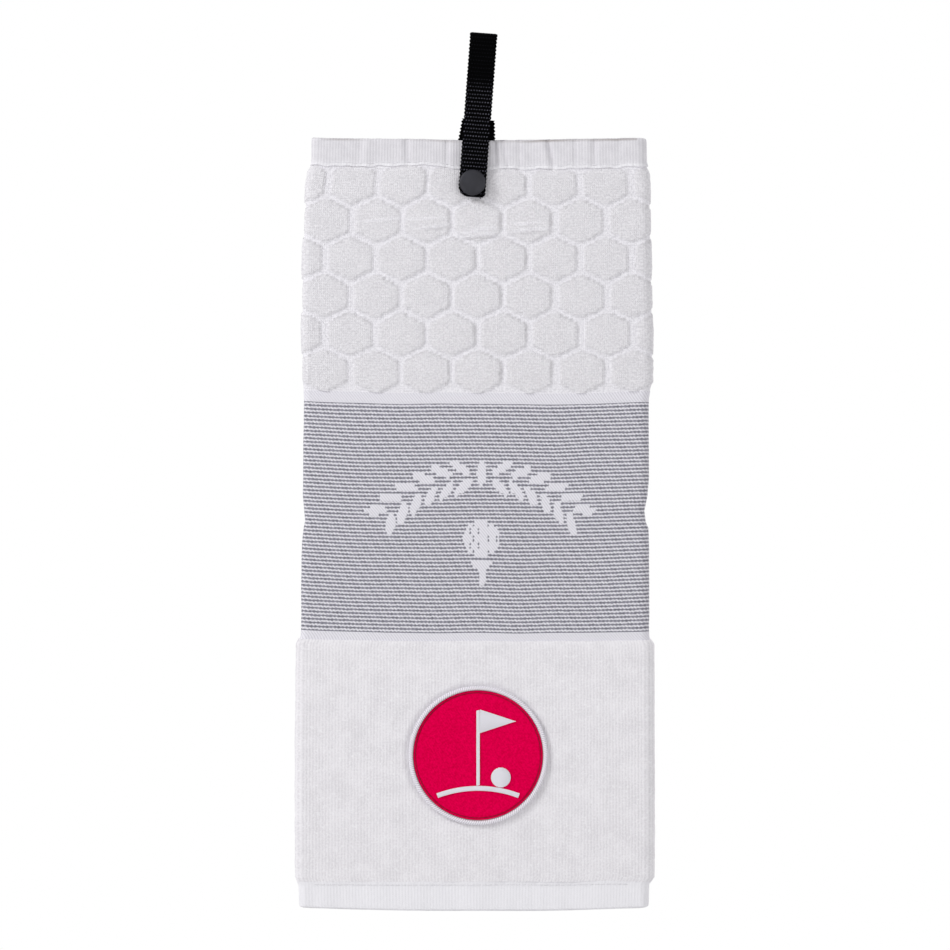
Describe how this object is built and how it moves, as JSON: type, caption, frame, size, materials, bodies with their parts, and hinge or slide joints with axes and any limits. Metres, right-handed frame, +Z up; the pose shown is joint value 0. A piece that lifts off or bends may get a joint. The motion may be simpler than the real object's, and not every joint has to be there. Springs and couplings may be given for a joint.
{
  "type": "golf towel",
  "caption": "Tri-folded golf towel with honeycomb, striped and velour zones, a round patch and a snap-closed webbing hanging loop.",
  "frame": {"origin": "highest point of the inside of the webbing loop, where a hook or ring carries the towel", "axes": "+Z up, -Y the front face with the patch, +X to the right of someone facing the front"},
  "size_m": [0.186, 0.0181, 0.4624],
  "materials": {
    "terry": "white terry cloth, matte",
    "hem_thread": "white sewing thread",
    "webbing": "black ribbed nylon webbing",
    "black_thread": "black sewing thread",
    "snap_plastic": "matte dark grey moulded plastic",
    "patch_twill": "crimson twill",
    "white_thread": "white embroidery thread, satin",
    "crimson_thread": "crimson sewing thread",
    "backing": "stiff non-woven backing"
  },
  "bodies": {
    "loop": {"strap_rear": "webbing"},
    "loop_front": {"strap_front": "webbing", "snap_cap": "snap_plastic", "snap_socket": "snap_plastic"},
    "towel": {"centre_panel": "terry", "top_hem_stitching": "hem_thread", "bottom_hem_stitching": "hem_thread", "anchor_tab": "webbing", "anchor_stitching": "black_thread", "snap_stud": "snap_plastic", "snap_back_cap": "snap_plastic", "patch_backing": "backing", "patch_ground": "patch_twill", "patch_border": "white_thread", "patch_stitching": "crimson_thread", "patch_green": "white_thread", "patch_flag": "white_thread", "patch_ball": "white_thread"},
    "inner_flap": {"left_flap": "terry"},
    "outer_flap": {"right_flap": "terry"}
  },
  "joints": [
    {"name": "strap_open", "type": "hinge", "parent": "loop", "child": "loop_front", "pos_m": [0.0001, 0, 0.0014], "axis": [-0.9972, 0, 0.075], "range_deg": [0, 170]},
    {"name": "strap_swing", "type": "hinge", "parent": "loop", "child": "towel", "pos_m": [-0.00331, 0.0044, -0.04398], "axis": [0.9972, 0, -0.075], "range_deg": [0, 90]},
    {"name": "left_fold", "type": "hinge", "parent": "towel", "child": "inner_flap", "pos_m": [-0.09707, 0.00385, -0.0541], "axis": [0, 0, 1], "range_deg": [0, 180], "deforming": ["right_flap"]},
    {"name": "right_fold", "type": "hinge", "parent": "towel", "child": "outer_flap", "pos_m": [0.08893, 0.0056, -0.0541], "axis": [0, 0, -1], "range_deg": [0, 180]}
  ]
}
